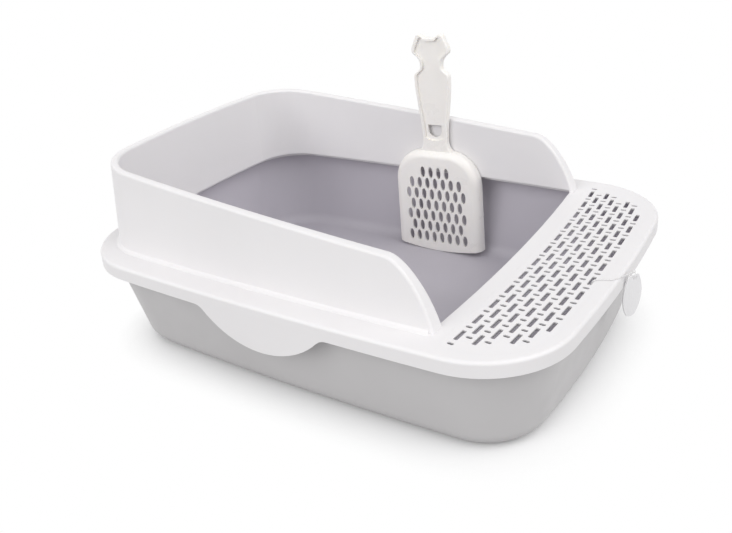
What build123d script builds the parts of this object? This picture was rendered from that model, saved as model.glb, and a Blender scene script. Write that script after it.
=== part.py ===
"""Open cat litter tray: a tapered pan, a lift-off rim with a perforated step, a scoop and a swing tag.

Millimetres, +Z up. The origin is the centre of the tray's footprint on the floor. +X is the step end.
"""
import os
from math import atan, cos, degrees, pi, radians, sin, sqrt, tan

from build123d import *

# Overall size of the tray
LENGTH = 510.0
WIDTH = 380.0
HEIGHT = 200.0

# Plan shape shared by all outlines: bowed ends and sides with round corners
END_BOW = 10.0
SIDE_BOW = 7.0
SKIRT_CORNER = 82.0

# Rim: ledge, skirt and the hollow wall round three sides
RIM_SHELL = 2.5
DECK_Z = 112.0
SKIRT_DROP = 14.0
SKIRT_EDGE = 3.0
END_LEDGE = 11.0
SIDE_LEDGE = 26.0
WALL_DRAFT = 8.0
WALL_TOP = 7.0
WALL_FOOT_ROUND = 6.0
FOOT_STEPS = 4
FOOT_SETBACK = 3.0
FOOT_SINK = 0.6
WALL_EDGE = 2.4
WALL_SLOPE = 0.085
BEND_SETBACK = 46.0
BEND_LEAD = 17.0
END_EASE = 24.0
END_LEAN = 6.0
END_GAP = 2.0
LEG_RISE = 3.0
FLAP_CHORD = 134.0
FLAP_DROP = 31.0
FLAP_ROUND = 14.0

# Step: inner edge, grille window and its slots
STEP_DEPTH = 96.0
STEP_BOW = 6.0
STEP_LIP = 10.0
WINDOW_MARGIN = 13.0
WINDOW_DEPTH = 71.0
WINDOW_SIDE_MARGIN = 18.0
WINDOW_FRONT_ROUND = 60.0
WINDOW_REAR_ROUND = 8.0
SLOT_LENGTH = 15.5
SLOT_WIDTH = 3.9
SLOT_PITCH = 27.5
SLOT_CORNER = 0.7
DASH_LENGTH = 5.8
DASH_WIDTH = 3.2
DASH_CORNER = 1.0
COLUMNS = 8
COLUMN_PITCH = 7.8
COLUMN_MARGIN = 9.0
SLOT_MARGIN = 4.0

# Pan
PAN_WALL = 2.6
PAN_BOTTOM_INSET = 27.0
PAN_BOTTOM_SIDE_INSET = 37.0
PAN_BOTTOM_CORNER = 57.0
PAN_BOTTOM_ROUND = 22.0
PAN_INNER_ROUND = 14.0
PAN_LIP = 4.0
PAN_LIP_THICK = 3.0
LIP_CLEARANCE = 2.0
LIP_SIDE_CLEARANCE = 6.0
SEAT_CLEARANCE = 0.2
FLOOR_RISE = 16.0
FLOOR_THICK = 3.0
FOOT_INSET = 22.0

# Scoop: a bowl-shaped blade and a channel-shaped handle with two ears
SCOOP_LENGTH = 255.0
SCOOP_SHELL = 2.2
SCOOP_DEPTH = 13.0
BLADE_WIDTH = 109.0
BLADE_HEIGHT = 122.0
BLADE_TAPER = 2.5
BLADE_EDGE = 8.5
SHOULDER_ROUND = 38.0
MOUTH_DEPTH = 10.5
MOUTH_BOW = 6.0
DEEP_START = 70.0
HANDLE_SET = 5.5
HANDLE_BACK = 12.5
HANDLE_EDGE = 1.2
BASE_WIDTH = 68.0
BASE_DROP = 7.0
WAIST_WIDTH = 29.5
WAIST_RISE = 11.0
BELLY_WIDTH = 42.0
BELLY_DROP = 50.0
NECK_WIDTH = 25.5
NECK_DROP = 37.0
HEAD_WIDTH = 43.0
CHEEK_DROP = 23.0
EAR_WIDTH = 29.0
EAR_ROUND = 4.2
BROW_WIDTH = 13.0
BROW_DROP = 7.0
BROW_ROUND = 3.5
CHANNEL_RISE = 12.0
CHANNEL_EDGE = 3.2
CHANNEL_DEPTH = 2.4
HOLE_WIDTH = 5.8
HOLE_HEIGHT = 13.4
HOLE_SIDES = 16
HOLE_PITCH = 10.0
HOLE_ROW = 13.4
HOLE_ROWS = (8, 7, 8, 7, 8, 7, 4)
FIRST_ROW = 17.0
HANG_RADIUS = 8.5
HANG_RISE = 24.0
SCOOP_X = 3.0
SCOOP_LEAN = 0.4
SCOOP_TILT = 1.7
REST_CLEARANCE = 0.6
SCOOP_WALL_GAP = 1.2

# Swing tag and its string
STRING_RADIUS = 0.5
STRING_GAP = 0.3
STRING_Y = -29.0
STRING_BEND_X = 8.5
STRING_BEND_Y = 6.5
STRING_EDGE_Y = 8.5
STRING_EDGE_SETBACK = 2.0
TEE_LENGTH = 9.0
RING_RADIUS = 3.0
HOOK_DROP = 7.0
TAG_WIDTH = 22.0
TAG_HEIGHT = 40.0
TAG_THICK = 1.0
TAG_Y = 4.0
TAG_TURN = 25.0
TAG_GAP = 0.6
EYELET_RADIUS = 1.5
EYELET_BORDER = 1.0
TAG_NECK_WIDTH = 12.0
TAG_CORNER = 2.0
TAG_BELLY = 0.55
TAG_TIP = 3.0

# Worked-out levels and half sizes
HALF_LENGTH = LENGTH / 2
HALF_WIDTH = WIDTH / 2
STEP_X = HALF_LENGTH - STEP_DEPTH
BEND_X = STEP_X - BEND_SETBACK
WINDOW_X = STEP_X + WINDOW_MARGIN
DECK_UNDER = DECK_Z - RIM_SHELL
SKIRT_BOTTOM = DECK_Z - SKIRT_DROP
WALL_LENGTH = HALF_LENGTH - END_LEDGE
WALL_WIDTH = HALF_WIDTH - SIDE_LEDGE
WALL_CORNER = SKIRT_CORNER - (END_LEDGE + SIDE_LEDGE) / 2
INNER_LENGTH = WALL_LENGTH - WALL_DRAFT - WALL_TOP
INNER_WIDTH = WALL_WIDTH - WALL_DRAFT - WALL_TOP
INNER_CORNER = WALL_CORNER - WALL_DRAFT - WALL_TOP
STEP_EDGE_BOW = STEP_BOW * (HALF_WIDTH / INNER_WIDTH) ** 2
LIP_TOP = DECK_UNDER - SEAT_CLEARANCE
LIP_LENGTH = HALF_LENGTH - RIM_SHELL - LIP_CLEARANCE
LIP_WIDTH = HALF_WIDTH - RIM_SHELL - LIP_SIDE_CLEARANCE
LIP_CORNER = SKIRT_CORNER - RIM_SHELL - LIP_CLEARANCE
FLOOR_TOP = FLOOR_RISE + FLOOR_THICK


def bowed(half_length, half_width, corner, z=0.0):
    """Rectangle with bowed sides and round corners, in plan at height z."""
    x = half_length - END_BOW
    y = half_width - SIDE_BOW
    outline = [
        ThreePointArc((x, -y), (half_length, 0), (x, y)),
        ThreePointArc((x, y), (0, half_width), (-x, y)),
        ThreePointArc((-x, y), (-half_length, 0), (-x, -y)),
        ThreePointArc((-x, -y), (0, -half_width), (x, -y)),
    ]
    face = make_face(outline)
    return Pos(0, 0, z) * fillet(face.vertices(), corner)


def block(half_length, half_width, corner, bottom, top):
    """Upright block on a bowed outline."""
    return extrude(bowed(half_length, half_width, corner, bottom), top - bottom)


def drafted(lower, upper, bottom, top):
    """Straight-sided loft between two bowed outlines, each given as half length, half width, corner."""
    return loft([bowed(*lower, bottom), bowed(*upper, top)], ruled=True)


def grown(outline, amount):
    """Half sizes and corner of an outline moved outward by amount."""
    return tuple(size + amount for size in outline)


def wall_profile(drop=0.0):
    """Everything below the wall's sloping top and its curved front ends, as seen from the side."""
    back = -HALF_LENGTH
    top_x = -(WALL_LENGTH - WALL_DRAFT)
    back_z = HEIGHT + WALL_SLOPE * (top_x - back)
    bend_z = HEIGHT - WALL_SLOPE * (BEND_X - top_x)
    foot = (STEP_X - END_GAP, DECK_Z)
    ease = (foot[0] - END_LEAN, DECK_Z + END_EASE)
    lead = (BEND_X + BEND_LEAD, bend_z - BEND_LEAD * WALL_SLOPE)
    outline = [
        Line((back, 0), (back, back_z)),
        Line((back, back_z), (BEND_X, bend_z)),
        Bezier((BEND_X, bend_z), lead, ease, foot),
        Line(foot, (foot[0], 0)),
        Line((foot[0], 0), (back, 0)),
    ]
    side = Plane.XZ * Pos(-drop, -drop) * make_face(outline)
    return extrude(side, HALF_WIDTH, both=True)


def step_region(shift=0.0):
    """Plan area ahead of the step's bowed inner edge."""
    side_x = STEP_X - STEP_EDGE_BOW + shift
    near = (side_x, -HALF_WIDTH)
    far = (side_x, HALF_WIDTH)
    edge = ThreePointArc(near, (STEP_X + shift, 0), far)
    rest = Polyline(far, (LENGTH, HALF_WIDTH), (LENGTH, -HALF_WIDTH), near)
    return make_face([edge, *rest.edges()])


def window():
    """Outline of the perforated area on the step."""
    half = HALF_WIDTH - WINDOW_SIDE_MARGIN
    bow = STEP_BOW * (half / INNER_WIDTH) ** 2
    front = WINDOW_X + WINDOW_DEPTH
    outline = [
        ThreePointArc((WINDOW_X - bow, -half), (WINDOW_X, 0), (WINDOW_X - bow, half)),
        Line((WINDOW_X - bow, half), (front - bow, half)),
        ThreePointArc((front - bow, half), (front, 0), (front - bow, -half)),
        Line((front - bow, -half), (WINDOW_X - bow, -half)),
    ]
    face = make_face(outline)
    corners = face.vertices().sort_by(Axis.X)
    face = fillet(corners[:2], WINDOW_REAR_ROUND)
    corners = face.vertices().filter_by_position(Axis.X, front - bow - 0.1, front - bow + 0.1)
    return fillet(corners, WINDOW_FRONT_ROUND)


def flaps():
    """Rounded flaps that hang from the skirt on both long sides."""
    strip = RIM_SHELL
    half = FLAP_CHORD / 2
    arc = ThreePointArc((-half, SKIRT_BOTTOM), (0, SKIRT_BOTTOM - FLAP_DROP), (half, SKIRT_BOTTOM))
    face = make_face([arc, Line((half, SKIRT_BOTTOM), (-half, SKIRT_BOTTOM))])
    face += Pos(0, SKIRT_BOTTOM + strip / 2) * Rectangle(FLAP_CHORD * 1.6, strip)
    notches = face.vertices().filter_by_position(Axis.X, -half - 0.1, half + 0.1)
    face = fillet(notches.filter_by_position(Axis.Y, SKIRT_BOTTOM - 0.1, SKIRT_BOTTOM + 0.1), FLAP_ROUND)
    sides = extrude(Plane.XZ * face, WIDTH, both=True)
    low = SKIRT_BOTTOM - FLAP_DROP
    high = SKIRT_BOTTOM + strip
    skirt = (HALF_LENGTH, HALF_WIDTH, SKIRT_CORNER)
    ring = block(*skirt, low, high) - block(*grown(skirt, -RIM_SHELL), low, high)
    return ring & sides


def wall_foot():
    """Round foot that sweeps from the ledge up to the outside of the wall."""
    foot = (WALL_LENGTH, WALL_WIDTH, WALL_CORNER)
    slope = WALL_DRAFT / (HEIGHT + 1 - DECK_UNDER)
    reach = WALL_FOOT_ROUND + FOOT_SINK
    sections = []
    for step in range(FOOT_STEPS + 1):
        angle = radians(90 * step / FOOT_STEPS)
        rise = reach * (1 - cos(angle)) - FOOT_SINK
        spread = reach * (1 - sin(angle)) - slope * (rise + RIM_SHELL) - FOOT_SINK
        sections.append(bowed(*grown(foot, spread), DECK_Z + rise))
    core = block(*grown(foot, -2 * FOOT_SINK - slope * reach), 0, HEIGHT)
    return (loft(sections, ruled=True) - core) & wall_profile(FOOT_SETBACK)


def wall_top_edges(wall):
    """Long edges of the wall's top and of its curved front ends."""
    tops = [face for face in wall.faces() if face.normal_at().Z > 0.2]
    edges = ShapeList(edge for face in tops for edge in face.edges())
    return edges - edges.filter_by(Axis.Y)


def make_rim():
    """Skirt, ledge, hollow wall and step deck, moulded in one."""
    skirt = (HALF_LENGTH, HALF_WIDTH, SKIRT_CORNER)
    cap = block(*skirt, SKIRT_BOTTOM, DECK_Z)
    cap = fillet(cap.edges().group_by(Axis.Z)[-1], SKIRT_EDGE)
    cap -= block(*grown(skirt, -RIM_SHELL), SKIRT_BOTTOM, DECK_UNDER)

    foot = (WALL_LENGTH, WALL_WIDTH, WALL_CORNER)
    inner = (INNER_LENGTH, INNER_WIDTH, INNER_CORNER)
    inner_block = block(*inner, SKIRT_BOTTOM - FLAP_DROP, HEIGHT + 1)
    outer_block = drafted(foot, grown(foot, -WALL_DRAFT), DECK_UNDER, HEIGHT + 1)
    wall = (outer_block - inner_block) & wall_profile()
    wall = fillet(wall_top_edges(wall), WALL_EDGE)

    deck = extrude(step_region(), DECK_Z)
    rim = cap - (inner_block - deck) + wall + wall_foot()
    lip = extrude(step_region() - step_region(RIM_SHELL), STEP_LIP) & block(*inner, 0, HEIGHT)
    rim += Pos(0, 0, DECK_Z - STEP_LIP) * lip

    hollow = drafted(grown(foot, -RIM_SHELL), grown(foot, -WALL_DRAFT - RIM_SHELL), 0, HEIGHT + 1)
    hollow -= block(*grown(inner, RIM_SHELL), 0, HEIGHT + 1)
    rim -= hollow & wall_profile(RIM_SHELL)
    leg = block(*grown(inner, RIM_SHELL + 1), 0, DECK_Z + LEG_RISE)
    rim -= leg - extrude(step_region(), HEIGHT)
    rim += flaps()
    return rim - extrude(window(), HEIGHT)


def slot_places():
    """Centre, turn and kind of every slot that fits the window."""
    half = HALF_WIDTH - WINDOW_SIDE_MARGIN
    corner_x = WINDOW_X + WINDOW_DEPTH - STEP_BOW - WINDOW_FRONT_ROUND
    for column in range(COLUMNS):
        base = WINDOW_X + COLUMN_MARGIN + column * COLUMN_PITCH
        reach = sqrt(max(WINDOW_FRONT_ROUND**2 - max(base - corner_x, 0) ** 2, 0))
        room = half - WINDOW_FRONT_ROUND + reach - SLOT_MARGIN
        count = int(2 * room / SLOT_PITCH) + 1
        for row in range(-count, count + 1):
            y = row * SLOT_PITCH / 2
            long_slot = (row + column) % 2 == 1
            if abs(y) + (SLOT_LENGTH if long_slot else DASH_WIDTH) / 2 > room:
                continue
            curve = STEP_BOW / INNER_WIDTH**2
            yield base - curve * y * y, y, degrees(atan(2 * curve * y)), long_slot


def make_grille():
    """Perforated plate of the step: long slots and short dashes in a basket weave."""
    slot = chamfer(Rectangle(SLOT_WIDTH, SLOT_LENGTH).vertices(), SLOT_CORNER)
    dash = chamfer(Rectangle(DASH_LENGTH, DASH_WIDTH).vertices(), DASH_CORNER)
    holes = []
    for x, y, turn, long_slot in slot_places():
        holes.append(Pos(x, y) * Rot(0, 0, turn) * (slot if long_slot else dash))
    plate = window() - holes
    return extrude(Pos(0, 0, DECK_UNDER) * plate, RIM_SHELL)


def make_pan():
    """Tapered pan with a turned-out lip and a floor raised on a foot ring."""
    foot = (HALF_LENGTH - PAN_BOTTOM_INSET, HALF_WIDTH - PAN_BOTTOM_SIDE_INSET, PAN_BOTTOM_CORNER)
    lip = (LIP_LENGTH, LIP_WIDTH, LIP_CORNER)
    mouth = grown(lip, -PAN_LIP)
    body = drafted(foot, mouth, 0, LIP_TOP)
    body = fillet(body.edges().group_by(Axis.Z)[0], PAN_BOTTOM_ROUND)
    body += block(*lip, LIP_TOP - PAN_LIP_THICK, LIP_TOP)

    rise = FLOOR_TOP / LIP_TOP
    floor = tuple(low + (high - low) * rise - PAN_WALL for low, high in zip(foot, mouth))
    inside = drafted(floor, grown(mouth, -PAN_WALL), FLOOR_TOP, LIP_TOP)
    inside = fillet(inside.edges().group_by(Axis.Z)[0], PAN_INNER_ROUND)
    recess = block(*grown(foot, -FOOT_INSET), 0, FLOOR_RISE)
    return body - inside - recess


def blade_face(inset=0.0):
    """Front outline of the blade: a bowed mouth, near-straight sides and round shoulders."""
    half = BLADE_WIDTH / 2 - inset
    top = BLADE_HEIGHT - inset
    low = MOUTH_BOW if inset == 0 else -MOUTH_BOW
    corners = [(half, low), (half - BLADE_TAPER, top), (BLADE_TAPER - half, top), (-half, low)]
    sides = Polyline(*corners)
    mouth = ThreePointArc(corners[3], (0, low - MOUTH_BOW), corners[0])
    face = make_face([*sides.edges(), mouth])
    shoulders = face.vertices().filter_by_position(Axis.Y, top - 0.1, top + 0.1)
    return fillet(shoulders, SHOULDER_ROUND - inset)


def handle_face(inset=0.0):
    """Front outline of the handle, from its base in the blade to the two ears at the top."""
    top = SCOOP_LENGTH - inset
    base = (BASE_WIDTH / 2 - inset, BLADE_HEIGHT - BASE_DROP)
    waist = (WAIST_WIDTH / 2 - inset, BLADE_HEIGHT + WAIST_RISE)
    belly = (BELLY_WIDTH / 2 - inset, SCOOP_LENGTH - BELLY_DROP)
    neck = (NECK_WIDTH / 2 - inset, SCOOP_LENGTH - NECK_DROP)
    cheek = (HEAD_WIDTH / 2 - inset, SCOOP_LENGTH - CHEEK_DROP)
    ear = (EAR_WIDTH / 2 - inset, top)
    brow = (BROW_WIDTH / 2, top - BROW_DROP)
    half = [
        Line((0, base[1]), base),
        Spline([base, waist], tangents=[(-1, 0.45), (0, 1)]),
        Spline([waist, belly], tangents=[(0, 1), (0, 1)]),
        Spline([belly, neck], tangents=[(0, 1), (0, 1)]),
        Spline([neck, cheek, ear], tangents=[(0, 1), (-0.3, 1)]),
        Line(ear, brow),
        Line(brow, (0, brow[1])),
    ]
    other = [edge.mirror(Plane.YZ) for edge in half]
    face = make_face([*half, *other])
    ears = face.vertices().filter_by_position(Axis.Y, top - 0.1, top + 0.1)
    face = fillet(ears, EAR_ROUND - inset / 2)
    brows = face.vertices().filter_by_position(Axis.Y, brow[1] - 0.1, brow[1] + 0.1)
    return fillet([corner for corner in brows if abs(corner.X) > 1], BROW_ROUND)


def scoop_holes():
    """Staggered rows of upright oval holes, each with short straight sides."""
    turns = [2 * pi * side / HOLE_SIDES for side in range(HOLE_SIDES)]
    oval = [(HOLE_WIDTH / 2 * cos(turn), HOLE_HEIGHT / 2 * sin(turn)) for turn in turns]
    hole = make_face(Polyline(*oval, close=True).edges())
    for row, count in enumerate(HOLE_ROWS):
        for place in range(count):
            u = (place - (count - 1) / 2) * HOLE_PITCH
            yield Pos(u, FIRST_ROW + row * HOLE_ROW) * hole


def scoop_side():
    """Side view of the scoop: the bowl is shallower at the mouth."""
    back = Polyline(
        (-MOUTH_BOW, 1),
        (-MOUTH_BOW, -MOUTH_DEPTH),
        (DEEP_START, -SCOOP_DEPTH),
        (SCOOP_LENGTH + 1, -SCOOP_DEPTH),
        (SCOOP_LENGTH + 1, 1),
        close=True,
    )
    return extrude(Plane.YZ * make_face(back.edges()), BLADE_WIDTH, both=True)


def scoop_plane():
    """Where the scoop stands: front face to the room, leaning on the far wall of the rim."""
    lean = radians(SCOOP_LEAN)
    tilt = radians(SCOOP_TILT)
    up = Vector(-sin(tilt), sin(lean) * cos(tilt), cos(lean) * cos(tilt))
    normal = Vector(0, -cos(lean), sin(lean))
    climb = DECK_Z + LEG_RISE - FLOOR_TOP
    y = INNER_WIDTH - SCOOP_DEPTH / cos(lean) - climb * sin(lean) - SCOOP_WALL_GAP
    corner_drop = BLADE_WIDTH / 2 * sin(tilt)
    z = FLOOR_TOP + REST_CLEARANCE + max(corner_drop - MOUTH_BOW, 0)
    return Plane(origin=(SCOOP_X, y, z), x_dir=up.cross(normal), z_dir=normal)


def bowl(face, depth, edge):
    """Block behind a blade outline with round front edges, open at the mouth."""
    solid = extrude(face, -depth)
    front = solid.edges().group_by(Axis.Z)[-1].sort_by(Axis.Y)[1:]
    return fillet(front, edge)


def make_handle():
    """Handle with a shallow channel in its front and its back, so that it is a rim round a thin web."""
    handle = extrude(Pos(0, 0, -HANDLE_SET) * handle_face(), HANDLE_SET - HANDLE_BACK)
    front = handle.edges().group_by(Axis.Z)[-1].sort_by(Axis.Y)[2:]
    handle = fillet(front, HANDLE_EDGE)
    web = HANDLE_SET + CHANNEL_DEPTH
    middle = BLADE_HEIGHT + CHANNEL_RISE + SCOOP_LENGTH / 2
    end = RectangleRounded(BELLY_WIDTH, SCOOP_LENGTH, BELLY_WIDTH / 2.1)
    channel = handle_face(CHANNEL_EDGE) & Pos(0, middle) * end
    front_cut = extrude(Pos(0, 0, -web) * channel, web)
    back_cut = extrude(Pos(0, 0, -HANDLE_BACK) * channel, HANDLE_BACK - web - SCOOP_SHELL)
    return handle - front_cut - back_cut


def make_scoop():
    """Thin moulded scoop: bowl blade with oval holes, channel handle with a hang hole."""
    blade = bowl(blade_face(), SCOOP_DEPTH + 1, BLADE_EDGE)
    inside = bowl(blade_face(SCOOP_SHELL), SCOOP_DEPTH + 1, BLADE_EDGE - SCOOP_SHELL)
    solid = blade + make_handle() - Pos(0, 0, -SCOOP_SHELL) * inside

    hang_y = BLADE_HEIGHT + HANG_RISE
    hang = Pos(0, hang_y) * Circle(HANG_RADIUS)
    hang += Pos(0, hang_y + HANG_RADIUS / 3) * Rectangle(2 * HANG_RADIUS, HANG_RADIUS * 2 / 3)
    hang -= Pos(0, hang_y + HANG_RADIUS * 7 / 6) * Rectangle(2 * HANG_RADIUS, HANG_RADIUS)
    solid -= extrude(hang, -2 * SCOOP_DEPTH)
    solid -= [extrude(hole, -SCOOP_SHELL - BLADE_EDGE) for hole in scoop_holes()]
    return scoop_plane() * (solid & scoop_side())


def front_face_x(y):
    """Outer face of the skirt at the step end."""
    return HALF_LENGTH - END_BOW * (y / HALF_WIDTH) ** 2


def tag_hook():
    """Middle of the tag's eyelet, with the turned tag clear of the skirt."""
    turn = radians(TAG_TURN)
    reach = TAG_WIDTH / 2 * sin(turn) + TAG_THICK / 2 * cos(turn)
    return front_face_x(0) + TAG_GAP + reach, TAG_Y, DECK_Z - HOOK_DROP


def string_route():
    """Corners of the string's middle line, from the tee under a slot to the top of the ring."""
    lift = STRING_RADIUS + STRING_GAP
    slot_x = WINDOW_X + COLUMN_MARGIN + (COLUMNS - 1) * COLUMN_PITCH
    top = DECK_Z + lift
    edge_y = STRING_Y + STRING_EDGE_Y
    edge_x = front_face_x(edge_y) - STRING_EDGE_SETBACK
    hook_x, hook_y, hook_z = tag_hook()
    return [
        (slot_x, STRING_Y, DECK_UNDER - lift),
        (slot_x, STRING_Y, top),
        (slot_x + STRING_BEND_X, STRING_Y + STRING_BEND_Y, top),
        (edge_x, edge_y, top),
        (hook_x, hook_y, hook_z + 2 * RING_RADIUS),
    ]


def bend_radii(route):
    """Radius of the arc at each inner corner of a route, as wide as the runs beside it allow."""
    radii = []
    for before, corner, after in zip(route, route[1:], route[2:]):
        inward = Vector(corner) - Vector(before)
        outward = Vector(after) - Vector(corner)
        half_turn = radians(inward.get_angle(outward)) / 2
        radii.append(0.45 * min(inward.length, outward.length) / tan(half_turn))
    return radii


def make_string():
    """String of the tag: a tee under a slot, a run over the deck and edge, and a ring through the tag."""
    route = string_route()
    radii = bend_radii(route)
    path = FilletPolyline(*route, radius=radii)
    string = sweep(Plane(path @ 0, z_dir=path % 0) * Circle(STRING_RADIUS), path)
    swept = pi * STRING_RADIUS**2 * path.length
    print("string radii", [round(radius, 1) for radius in radii], "length", round(path.length, 1))
    print("string volume", round(string.volume, 2), "of", round(swept, 2))

    tee = Pos(*route[0]) * Rot(0, 90, 0) * Cylinder(STRING_RADIUS, TEE_LENGTH)
    hook_x, hook_y, hook_z = tag_hook()
    turn = radians(TAG_TURN)
    ring_plane = Plane(origin=(hook_x, hook_y, hook_z + RING_RADIUS), z_dir=(sin(turn), cos(turn), 0))
    return string + tee + ring_plane * Torus(RING_RADIUS, STRING_RADIUS)


def make_tag():
    """Blank shield-shaped swing tag that hangs in front of the skirt, turned to one side."""
    half = TAG_WIDTH / 2
    neck = TAG_NECK_WIDTH / 2
    top = EYELET_RADIUS + EYELET_BORDER
    low = top - TAG_HEIGHT
    curve = [(neck, top), (half, low * TAG_BELLY), (half * TAG_BELLY, low + TAG_TIP), (0, low)]
    right = Spline(curve, tangents=[(0.5, -1), (-1, 0)])
    left = right.mirror(Plane.YZ)
    face = make_face([Line((-neck, top), (neck, top)), right, left])
    face = fillet(face.vertices().group_by(Axis.Y)[-1], TAG_CORNER)
    face -= Circle(EYELET_RADIUS)
    plate = extrude(face, TAG_THICK / 2, both=True)
    turn = radians(TAG_TURN)
    front = Plane(origin=tag_hook(), x_dir=(sin(turn), cos(turn), 0), z_dir=(cos(turn), -sin(turn), 0))
    return front * plate


PARTS = {
    "base_pan": make_pan,
    "rim_frame": make_rim,
    "step_grille": make_grille,
    "litter_scoop": make_scoop,
    "tag_string": make_string,
    "swing_tag": make_tag,
}

os.makedirs("parts", exist_ok=True)
for name, make in PARTS.items():
    export_step(make(), f"parts/{name}.step")
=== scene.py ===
from math import cos, pi, sin

import bpy
from mathutils import Matrix, Vector


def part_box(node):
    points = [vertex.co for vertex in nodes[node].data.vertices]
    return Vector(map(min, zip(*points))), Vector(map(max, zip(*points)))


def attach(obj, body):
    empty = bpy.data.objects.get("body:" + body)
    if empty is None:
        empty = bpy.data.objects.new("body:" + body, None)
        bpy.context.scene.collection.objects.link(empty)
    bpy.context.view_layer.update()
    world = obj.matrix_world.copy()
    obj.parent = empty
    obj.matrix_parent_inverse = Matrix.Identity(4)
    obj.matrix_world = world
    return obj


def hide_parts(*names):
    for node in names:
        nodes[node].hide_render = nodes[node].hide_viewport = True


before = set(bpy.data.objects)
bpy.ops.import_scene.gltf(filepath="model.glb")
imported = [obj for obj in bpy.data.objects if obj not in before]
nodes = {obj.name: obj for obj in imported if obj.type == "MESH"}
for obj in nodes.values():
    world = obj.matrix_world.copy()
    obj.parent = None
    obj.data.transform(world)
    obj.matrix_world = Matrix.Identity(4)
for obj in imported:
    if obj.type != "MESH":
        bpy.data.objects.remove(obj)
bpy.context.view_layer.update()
scene = bpy.context.scene
scene.view_settings.view_transform = "Standard"

UP = Vector((0.0, 0.0, 1.0))

# The tag's string, in metres. Its route runs from the tee under a slot to the top of the tag's ring.
STRING_ROUTE = [
    (0.2356, -0.0290, 0.1087),
    (0.2356, -0.0290, 0.1136),
    (0.2441, -0.0225, 0.1129),
    (0.2529, -0.0205, 0.1128),
    (0.2607, 0.0040, 0.1110),
]
STRING_RADIUS = 0.0005
TEE_HALF = 0.0045
TEE_SIDE = Vector((1.0, 0.0, 0.0))
RING_RADIUS = 0.003
RING_SIDE = Vector((0.9063, -0.4226, 0.0))
RING_POINTS = 10
KNOT_RADIUS = 0.0009
KNOT_STEP = 0.00016
KNOT_TURN = pi / 3
KNOT_POINTS_EACH_WAY = 8

# Dark and light tone of each finish, and the painted shade that multiplies them on some faces
WHITE_TONES = ((0.80, 0.785, 0.79), (0.83, 0.815, 0.82))
GREY_TONES = ((0.55, 0.538, 0.541), (0.58, 0.568, 0.571))
IVORY_TONES = ((0.915, 0.89, 0.855), (0.94, 0.915, 0.88))
CARD_TONES = ((0.84, 0.83, 0.84), (0.90, 0.895, 0.90))
THREAD_TONES = ((0.66, 0.65, 0.65), (0.86, 0.855, 0.85))
# Painted shade: darkens the lower part of the walls of the grille's slots
SLOT_PAINTED_SHADE = (0.42, 0.42, 0.43)
# Painted shade: darkens and cools the grey on the faces that look into the tray
PAN_INSIDE_PAINTED_SHADE = (0.93, 0.91, 0.99)

# Studio: floor tones for the light it throws back and for the eye, reach of the shadow in metres, light.
# A sun has a name, the direction towards it, its strength and its spread in radians.
FLOOR_REACH = 8.0
FLOOR_TONES = ((0.5, 0.5, 0.5), (0.93, 0.93, 0.93))
SHADOW_REACH = 0.059
SHADOW_RANGE = (0.38, 0.82)
WHITE = (1.0, 1.0, 1.0)
WORLD_LIGHT = (0.99, 0.99, 1.0)
WORLD_STRENGTH = 0.64
SUNS = [
    ("front", (-0.24, -0.83, 0.50), 1.12, 0.7),
    ("right", (0.73, 0.03, 0.68), 1.2, 1.0),
]

# Camera that was fitted to the photograph: frame, focal length and optical centre in pixels, place and axes
PHOTO_WIDTH, PHOTO_HEIGHT = 732.0, 533.0
FOCAL_LENGTH = 808.311
CENTRE_X, CENTRE_Y = 336.585, 248.187
SENSOR_WIDTH = 36.0
CAMERA_PLACE = (0.419575, -0.625376, 0.450600)
CAMERA_RIGHT = (0.82295816, 0.56103817, -0.08930862)
CAMERA_UP = (-0.1797622, 0.40629503, 0.89588498)
CAMERA_BACK = (0.53891132, -0.72122154, 0.43521727)


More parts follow.
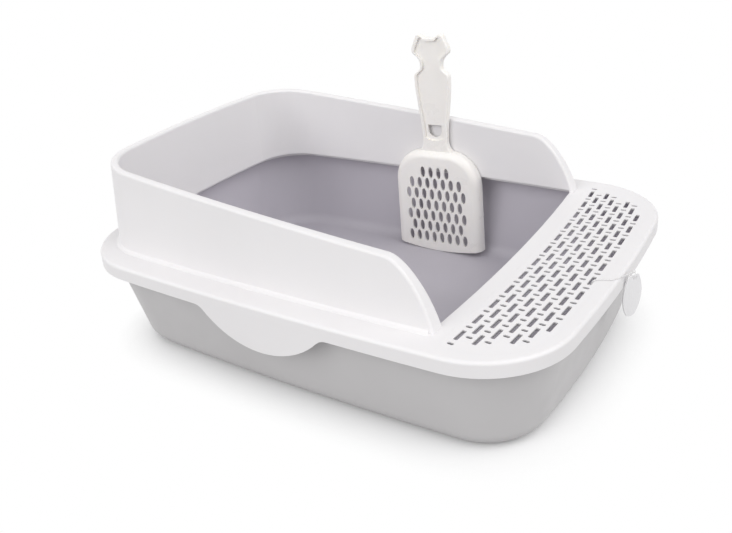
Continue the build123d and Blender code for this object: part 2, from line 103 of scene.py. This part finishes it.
class Graph:
    """Small helper to write the nodes of a material or a world line by line."""

    def __init__(self, owner, output="ShaderNodeOutputMaterial"):
        owner.use_nodes = True
        self.owner = owner
        self.tree = owner.node_tree
        self.tree.nodes.clear()
        self.output = self.add(output)

    def add(self, kind, **settings):
        node = self.tree.nodes.new(kind)
        for key, value in settings.items():
            setattr(node, key, value)
        return node

    def link(self, source, target):
        self.tree.links.new(source, target)

    def position(self):
        return self.add("ShaderNodeTexCoord").outputs["Object"]

    def face_normal(self):
        return self.add("ShaderNodeNewGeometry").outputs["True Normal"]

    def height(self, vector):
        node = self.add("ShaderNodeSeparateXYZ")
        self.link(vector, node.inputs["Vector"])
        return node.outputs["Z"]

    def stretch(self, vector, scale, rotation=(0.0, 0.0, 0.0)):
        node = self.add("ShaderNodeMapping")
        self.link(vector, node.inputs["Vector"])
        node.inputs["Rotation"].default_value = rotation
        node.inputs["Scale"].default_value = scale
        return node.outputs["Vector"]

    def noise(self, vector, scale, detail=2.0, roughness=0.5):
        node = self.add("ShaderNodeTexNoise")
        self.link(vector, node.inputs["Vector"])
        node.inputs["Scale"].default_value = scale
        node.inputs["Detail"].default_value = detail
        node.inputs["Roughness"].default_value = roughness
        return node.outputs["Fac"]

    def remap(self, value, low, high, from_low=0.3, from_high=0.7):
        node = self.add("ShaderNodeMapRange")
        self.link(value, node.inputs["Value"])
        node.inputs["From Min"].default_value = from_low
        node.inputs["From Max"].default_value = from_high
        node.inputs["To Min"].default_value = low
        node.inputs["To Max"].default_value = high
        return node.outputs["Result"]

    def ramp(self, value, tones, places):
        """Runs from one tone to the other between two places of the value."""
        node = self.add("ShaderNodeValToRGB")
        self.link(value, node.inputs["Fac"])
        for element, place, tone in zip(node.color_ramp.elements, places, tones):
            element.position = place
            element.color = (*tone, 1.0)
        return node.outputs["Color"]

    def with_painted_shade(self, share, colour, painted_shade):
        """The colour, multiplied by the painted shade where the share is 1."""
        node = self.add("ShaderNodeMix", data_type="RGBA", blend_type="MULTIPLY")
        self.link(share, node.inputs["Factor"])
        self.link(colour, node.inputs["A"])
        node.inputs["B"].default_value = (*painted_shade, 1.0)
        return node.outputs["Result"]

    def math(self, operation, first, second):
        node = self.add("ShaderNodeMath", operation=operation)
        for socket, value in zip(node.inputs, (first, second)):
            if isinstance(value, float):
                socket.default_value = value
            else:
                self.link(value, socket)
        return node.outputs["Value"]

    def bump(self, height, strength, distance, normal=None):
        node = self.add("ShaderNodeBump")
        self.link(height, node.inputs["Height"])
        node.inputs["Strength"].default_value = strength
        node.inputs["Distance"].default_value = distance
        if normal is not None:
            self.link(normal, node.inputs["Normal"])
        return node.outputs["Normal"]

    def glow(self, kind, colour, strength):
        """An emission or a background of one colour."""
        node = self.add(kind)
        node.inputs["Color"].default_value = (*colour, 1.0)
        node.inputs["Strength"].default_value = strength
        return node.outputs[0]

    def seen(self):
        """1 for the camera and for what gloss and glass show of the surroundings, 0 for plain light."""
        path = self.add("ShaderNodeLightPath").outputs
        direct = self.math("MAXIMUM", path["Is Camera Ray"], path["Is Glossy Ray"])
        return self.math("MAXIMUM", direct, path["Is Transmission Ray"])

    def blend(self, share, first, second):
        node = self.add("ShaderNodeMixShader")
        self.link(share, node.inputs["Fac"])
        self.link(first, node.inputs[1])
        self.link(second, node.inputs[2])
        return node.outputs["Shader"]

    def finish(self, surface):
        """Puts the surface on the output and returns the finished material or world."""
        self.link(surface, self.output.inputs["Surface"])
        return self.owner


def new_material(name):
    return Graph(bpy.data.materials.new(name))


def scuffs(graph, place):
    """Few faint hair scratches in two directions, as a mask from 0 to 1."""
    masks = []
    for turn, scale in ((0.6, (420.0, 9.0, 300.0)), (-0.9, (9.0, 380.0, 260.0))):
        along = graph.stretch(place, scale, rotation=(0.2, 0.1, turn))
        lines = graph.noise(along, scale=1.0, detail=1.0, roughness=0.4)
        masks.append(graph.remap(lines, 0.0, 1.0, from_low=0.70, from_high=0.78))
    patches = graph.noise(place, scale=11.0)
    patches = graph.remap(patches, 0.0, 1.0, from_low=0.52, from_high=0.7)
    return graph.math("MULTIPLY", graph.math("MAXIMUM", *masks), patches)


def plastic(name, tones, roughness, grain_scale, grain_strength, bleed=0.0, wear=0.25, painted_shade=None, where=None):
    """Moulded plastic: tone drift, fine grain, uneven gloss, faint scratches and a little depth of light.

    Painted shade multiplies the colour on the faces that the mask function where picks.
    """
    graph = new_material(name)
    place = graph.position()
    shader = graph.add("ShaderNodeBsdfPrincipled")
    colour = graph.ramp(graph.noise(place, scale=6.0, detail=3.0), tones, (0.3, 0.7))
    # Painted shade: darkens the colour on the faces the mask picks
    if painted_shade is not None:
        colour = graph.with_painted_shade(where(graph, place), colour, painted_shade)
    graph.link(colour, shader.inputs["Base Color"])

    gloss = graph.remap(graph.noise(place, scale=38.0, detail=4.0, roughness=0.6), *roughness)
    marks = scuffs(graph, place)
    worn = graph.math("ADD", gloss, graph.math("MULTIPLY", marks, wear))
    graph.link(worn, shader.inputs["Roughness"])

    sink = graph.bump(graph.noise(place, scale=9.0, detail=1.0), strength=0.12, distance=0.004)
    grain = graph.noise(place, scale=grain_scale, roughness=0.6)
    fine = graph.bump(grain, strength=grain_strength, distance=0.0003, normal=sink)
    scratched = graph.bump(marks, strength=0.05, distance=0.0001, normal=fine)
    graph.link(scratched, shader.inputs["Normal"])
    shader.inputs["Specular IOR Level"].default_value = 0.42
    shader.inputs["Subsurface Weight"].default_value = bleed
    shader.inputs["Subsurface Radius"].default_value = (1.0, 0.9, 0.75)
    shader.inputs["Subsurface Scale"].default_value = 0.003
    return graph.finish(shader.outputs["BSDF"])


def pan_inside_shade_mask(graph, place):
    """Mask of painted shade, darker and cooler: 1 on the faces that look into the tray, 0 on those that look
    out of it.
    """
    normal = graph.face_normal()
    to_middle = graph.add("ShaderNodeVectorMath", operation="MULTIPLY")
    graph.link(place, to_middle.inputs[0])
    to_middle.inputs[1].default_value = (-4.0, -5.5, 0.0)
    inward = graph.add("ShaderNodeVectorMath", operation="DOT_PRODUCT")
    graph.link(to_middle.outputs["Vector"], inward.inputs[0])
    graph.link(normal, inward.inputs[1])
    facing = graph.math("ADD", inward.outputs["Value"], graph.height(normal))
    return graph.remap(facing, 0.0, 1.0, from_low=-0.2, from_high=0.4)


def slot_wall_shade_mask(graph, place):
    """Mask of painted shade: grows from 0 to 1 down the walls of the grille's slots, and is 0 on its level
    faces.
    """
    slope = graph.height(graph.face_normal())
    wall = graph.remap(graph.math("MULTIPLY", slope, slope), 1.0, 0.0, from_low=0.1, from_high=0.35)
    low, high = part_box("step_grille")
    dark_below, light_above = low[2] + 0.0008, high[2] - 0.0002
    depth = graph.remap(graph.height(place), 1.0, 0.0, from_low=dark_below, from_high=light_above)
    return graph.math("MULTIPLY", wall, depth)


def card_stock(name):
    """Blank coated card with a faint fibre grain."""
    graph = new_material(name)
    place = graph.position()
    fibre = graph.stretch(place, (900.0, 900.0, 220.0))
    fibre = graph.noise(fibre, scale=1.0, detail=3.0, roughness=0.6)
    shader = graph.add("ShaderNodeBsdfPrincipled")
    graph.link(graph.ramp(fibre, CARD_TONES, (0.25, 0.75)), shader.inputs["Base Color"])
    gloss = graph.remap(graph.noise(place, scale=160.0, detail=3.0), 0.38, 0.58)
    graph.link(gloss, shader.inputs["Roughness"])
    graph.link(graph.bump(fibre, strength=0.12, distance=0.0002), shader.inputs["Normal"])
    shader.inputs["Specular IOR Level"].default_value = 0.4
    return graph.finish(shader.outputs["BSDF"])


def twisted_thread(name):
    """White thread with the slanted bands of its twist."""
    graph = new_material(name)
    place = graph.position()
    wave = graph.add("ShaderNodeTexWave", wave_type="BANDS", bands_direction="DIAGONAL")
    graph.link(place, wave.inputs["Vector"])
    wave.inputs["Scale"].default_value = 420.0
    wave.inputs["Distortion"].default_value = 1.5
    wave.inputs["Detail"].default_value = 2.0
    bands = wave.outputs["Fac"]
    shader = graph.add("ShaderNodeBsdfPrincipled")
    graph.link(graph.ramp(bands, THREAD_TONES, (0.1, 0.6)), shader.inputs["Base Color"])
    graph.link(graph.remap(graph.noise(place, scale=700.0), 0.6, 0.85), shader.inputs["Roughness"])
    graph.link(graph.bump(bands, strength=0.5, distance=0.0002), shader.inputs["Normal"])
    return graph.finish(shader.outputs["BSDF"])


def paint(node, material):
    """Gives a CAD piece one material in place of its own."""
    slots = nodes[node].data.materials
    slots.clear()
    slots.append(material)


def paint_nodes():
    """Finishes of the CAD pieces."""
    white_finish = {
        "tones": WHITE_TONES,
        "roughness": (0.34, 0.48),
        "grain_scale": 1400.0,
        "grain_strength": 0.05,
        "bleed": 0.05,
    }
    white = plastic("white_plastic", **white_finish)
    # The grille's white carries painted shade down the walls of its slots.
    slotted_with_shade = plastic("white_slotted_painted_shade", **white_finish, painted_shade=SLOT_PAINTED_SHADE, where=slot_wall_shade_mask)
    # The pan's grey carries painted shade, darker and cooler, on the faces inside the tray.
    grey_shaded_inside = plastic(
        "grey_plastic",
        GREY_TONES,
        roughness=(0.40, 0.54),
        grain_scale=1100.0,
        grain_strength=0.08,
        wear=0.2,
        painted_shade=PAN_INSIDE_PAINTED_SHADE,
        where=pan_inside_shade_mask,
    )
    ivory = plastic(
        "ivory_plastic",
        IVORY_TONES,
        roughness=(0.24, 0.36),
        grain_scale=1800.0,
        grain_strength=0.03,
        bleed=0.14,
    )
    paint("base_pan", grey_shaded_inside)
    paint("rim_frame", white)
    paint("step_grille", slotted_with_shade)
    paint("litter_scoop", ivory)
    paint("swing_tag", card_stock("tag_card"))


def add_line(curve, points, closed=False):
    """Adds one smooth NURBS line with these control points to a curve."""
    spline = curve.splines.new("NURBS")
    spline.points.add(len(points) - 1)
    for point, place in zip(spline.points, points):
        point.co = (*place, 1.0)
    spline.order_u = 3
    spline.use_endpoint_u = not closed
    spline.use_cyclic_u = closed


def make_curve(name, thread):
    """An empty curve piece as thick as the string."""
    curve = bpy.data.curves.new(name, "CURVE")
    curve.dimensions = "3D"
    curve.resolution_u = 10
    curve.bevel_depth = STRING_RADIUS
    curve.bevel_resolution = 4
    curve.use_fill_caps = True
    curve.materials.append(thread)
    piece = bpy.data.objects.new(name, curve)
    scene.collection.objects.link(piece)
    return piece


def ring_points(top):
    """Control points of the upright ring that hangs from its top."""
    middle = top - RING_RADIUS * UP
    reach = RING_RADIUS / cos(pi / RING_POINTS)
    angles = [pi / 2 + 2 * pi * step / RING_POINTS for step in range(RING_POINTS)]
    return [middle + reach * (cos(angle) * RING_SIDE + sin(angle) * UP) for angle in angles]


def knot_points(middle, line):
    """Control points of the thread that winds round the string's end."""
    side = line.cross(UP).normalized()
    up = side.cross(line)
    points = []
    for step in range(-KNOT_POINTS_EACH_WAY, KNOT_POINTS_EACH_WAY + 1):
        angle = step * KNOT_TURN
        points.append(middle + KNOT_RADIUS * (cos(angle) * side + sin(angle) * up) + step * KNOT_STEP * line)
    return points


def make_string():
    """The tag's string, with its tee under the slot, its ring through the tag and its knot."""
    thread = twisted_thread("white_string")
    string = make_curve("string_line", thread)
    add_line(string.data, STRING_ROUTE)

    ends = make_curve("string_ends", thread)
    start, before_top, top = (Vector(STRING_ROUTE[index]) for index in (0, -2, -1))
    add_line(ends.data, [start - TEE_HALF * TEE_SIDE, start, start + TEE_HALF * TEE_SIDE])
    add_line(ends.data, ring_points(top), closed=True)
    add_line(ends.data, knot_points(top, (top - before_top).normalized()))

    for piece in (string, ends):
        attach(piece, "rim")
    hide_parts("tag_string")


def make_floor():
    """Pale floor that shows the soft shadow near the tray and is white to the eye further off."""
    mesh = bpy.data.meshes.new("floor")
    signs = ((-1, -1), (1, -1), (1, 1), (-1, 1))
    mesh.from_pydata([(x * FLOOR_REACH, y * FLOOR_REACH, 0.0) for x, y in signs], [], [(0, 1, 2, 3)])
    floor = bpy.data.objects.new("floor", mesh)
    scene.collection.objects.link(floor)

    graph = new_material("floor")
    seen = graph.seen()
    diffuse = graph.add("ShaderNodeBsdfDiffuse")
    graph.link(graph.ramp(seen, FLOOR_TONES, (0.0, 1.0)), diffuse.inputs["Color"])
    glow = graph.glow("ShaderNodeEmission", WHITE, 1.0)
    near = graph.add("ShaderNodeAmbientOcclusion", samples=8)
    near.inputs["Distance"].default_value = SHADOW_REACH
    open_share = graph.remap(near.outputs["AO"], 0.0, 1.0, *SHADOW_RANGE)
    share = graph.math("MULTIPLY", seen, open_share)
    mesh.materials.append(graph.finish(graph.blend(share, diffuse.outputs["BSDF"], glow)))


def make_world():
    """White to the camera and to reflections, plain soft light for everything else."""
    graph = Graph(bpy.data.worlds.new("studio"), "ShaderNodeOutputWorld")
    light = graph.glow("ShaderNodeBackground", WORLD_LIGHT, WORLD_STRENGTH)
    backdrop = graph.glow("ShaderNodeBackground", WHITE, 1.0)
    scene.world = graph.finish(graph.blend(graph.seen(), light, backdrop))


def make_sun(name, towards, strength, spread):
    """Even light from one side of the studio, soft by its spread."""
    data = bpy.data.lights.new(name, "SUN")
    data.energy = strength
    data.angle = spread
    lamp = bpy.data.objects.new(name, data)
    scene.collection.objects.link(lamp)
    lamp.rotation_euler = (-Vector(towards)).to_track_quat("-Z", "Y").to_euler()


def make_camera():
    """Camera at the photograph's angle, in its frame."""
    data = bpy.data.cameras.new("camera")
    data.sensor_width = SENSOR_WIDTH
    data.lens = FOCAL_LENGTH * SENSOR_WIDTH / PHOTO_WIDTH
    data.shift_x = (PHOTO_WIDTH / 2 - CENTRE_X) / PHOTO_WIDTH
    data.shift_y = (CENTRE_Y - PHOTO_HEIGHT / 2) / PHOTO_WIDTH
    data.clip_start = 0.01
    data.clip_end = 50.0
    camera = bpy.data.objects.new("camera", data)
    scene.collection.objects.link(camera)
    turn = Matrix((CAMERA_RIGHT, CAMERA_UP, CAMERA_BACK)).transposed()
    camera.matrix_world = Matrix.Translation(CAMERA_PLACE) @ turn.to_4x4()
    scene.camera = camera


make_camera()
paint_nodes()
make_string()
make_floor()
make_world()
for sun in SUNS:
    make_sun(*sun)
